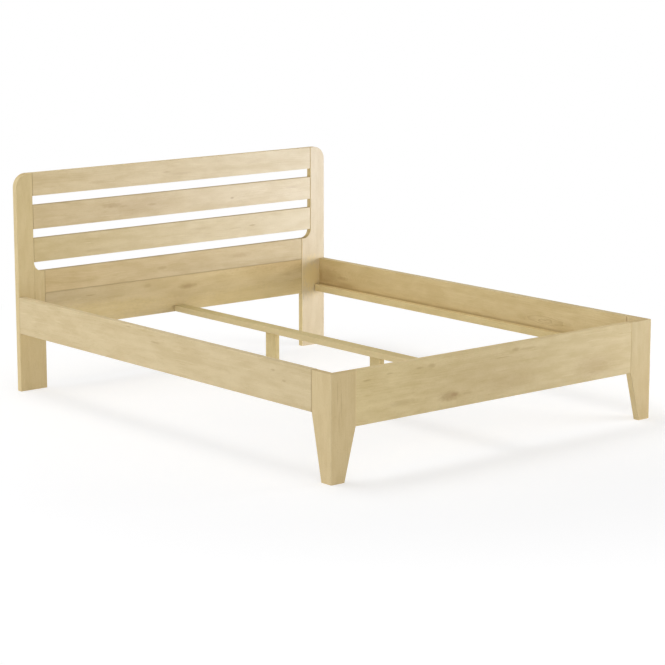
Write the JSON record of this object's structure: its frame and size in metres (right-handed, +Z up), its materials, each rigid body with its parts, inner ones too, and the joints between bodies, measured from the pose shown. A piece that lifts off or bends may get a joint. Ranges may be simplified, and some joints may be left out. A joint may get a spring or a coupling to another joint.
{
  "type": "bed frame",
  "caption": "Low wooden bed frame with a slatted headboard, tapered mitred foot legs, ledgers for a slatted base and a legged centre beam.",
  "frame": {"origin": "on the floor, under the middle of the whole bed frame", "axes": "+Y towards the headboard along the bed's length, +X across it to the right as seen from the foot, +Z up"},
  "size_m": [1.664, 2.067, 0.922],
  "materials": {
    "frame_wood": "satin lacquer",
    "support_wood": "satin lacquer",
    "dowel_wood": "raw",
    "plate_steel": "zinc plated",
    "fastener_steel": "zinc plated"
  },
  "bodies": {
    "root": {"beam_cleat": "support_wood", "beam_cleat_screws": "fastener_steel", "beam_dowels": "dowel_wood", "catch_plate_foot_left": "plate_steel", "catch_plate_foot_right": "plate_steel", "catch_plate_head_left": "plate_steel", "catch_plate_head_right": "plate_steel", "catch_plate_screws": "fastener_steel", "centre_beam": "support_wood", "centre_leg_bolts": "fastener_steel", "centre_leg_foot": "support_wood", "centre_leg_head": "support_wood", "centre_leg_nuts": "fastener_steel", "foot_leg_front_left": "frame_wood", "foot_leg_front_right": "frame_wood", "foot_leg_side_left": "frame_wood", "foot_leg_side_right": "frame_wood", "foot_leg_splines": "dowel_wood", "foot_rail": "frame_wood", "foot_rail_dowels": "dowel_wood", "headboard_dowels": "dowel_wood", "headboard_head_rail": "frame_wood", "headboard_panel": "frame_wood", "headboard_post_left": "frame_wood", "headboard_post_right": "frame_wood", "headboard_slat_lower": "frame_wood", "headboard_slat_upper": "frame_wood", "headboard_top_rail": "frame_wood", "hook_plate_foot_left": "plate_steel", "hook_plate_foot_right": "plate_steel", "hook_plate_head_left": "plate_steel", "hook_plate_head_right": "plate_steel", "hook_plate_screws": "fastener_steel", "ledger_dowels": "dowel_wood", "ledger_left": "support_wood", "ledger_right": "support_wood", "side_rail_left": "frame_wood", "side_rail_right": "frame_wood"}
  },
  "joints": []
}
